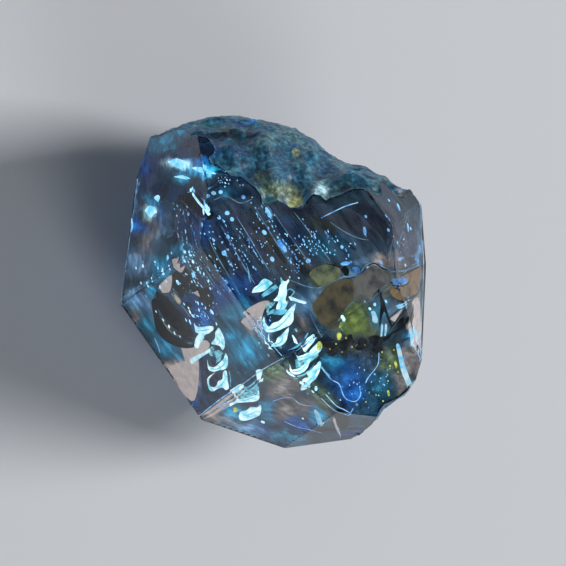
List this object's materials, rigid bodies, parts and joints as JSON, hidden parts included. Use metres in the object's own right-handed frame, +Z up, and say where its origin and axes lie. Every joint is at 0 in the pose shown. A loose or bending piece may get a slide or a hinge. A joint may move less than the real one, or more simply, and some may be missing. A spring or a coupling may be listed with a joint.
{
  "type": "petroleum quartz crystal",
  "caption": "Stubby clear quartz crystal with flat faces, a rough rock-contact side, and dark oil and bitumen sealed inside; lies on a prism face.",
  "frame": {"origin": "under the middle of the crystal's box, on the surface it lies on", "axes": "+Z up from the prism face it lies on; the crystal's c axis lies level, turned 55 degrees from +X towards -Y; +Y is the longer side of the box, and the top of the picture"},
  "size_m": [0.0102, 0.0112, 0.008],
  "materials": {
    "clear_quartz": "polished by growth, frosted on the rock side",
    "dark_oil": "gloss",
    "brown_oil": "gloss",
    "yellow_oil": "gloss",
    "bitumen": "satin"
  },
  "bodies": {
    "root": {"quartz_upper": "clear_quartz", "quartz_lower": "clear_quartz", "oil_film": "dark_oil", "oil_pocket": "brown_oil", "oil_droplet": "yellow_oil", "bitumen_rim": "bitumen", "bitumen_blade": "bitumen", "bitumen_flake": "bitumen"}
  },
  "joints": []
}
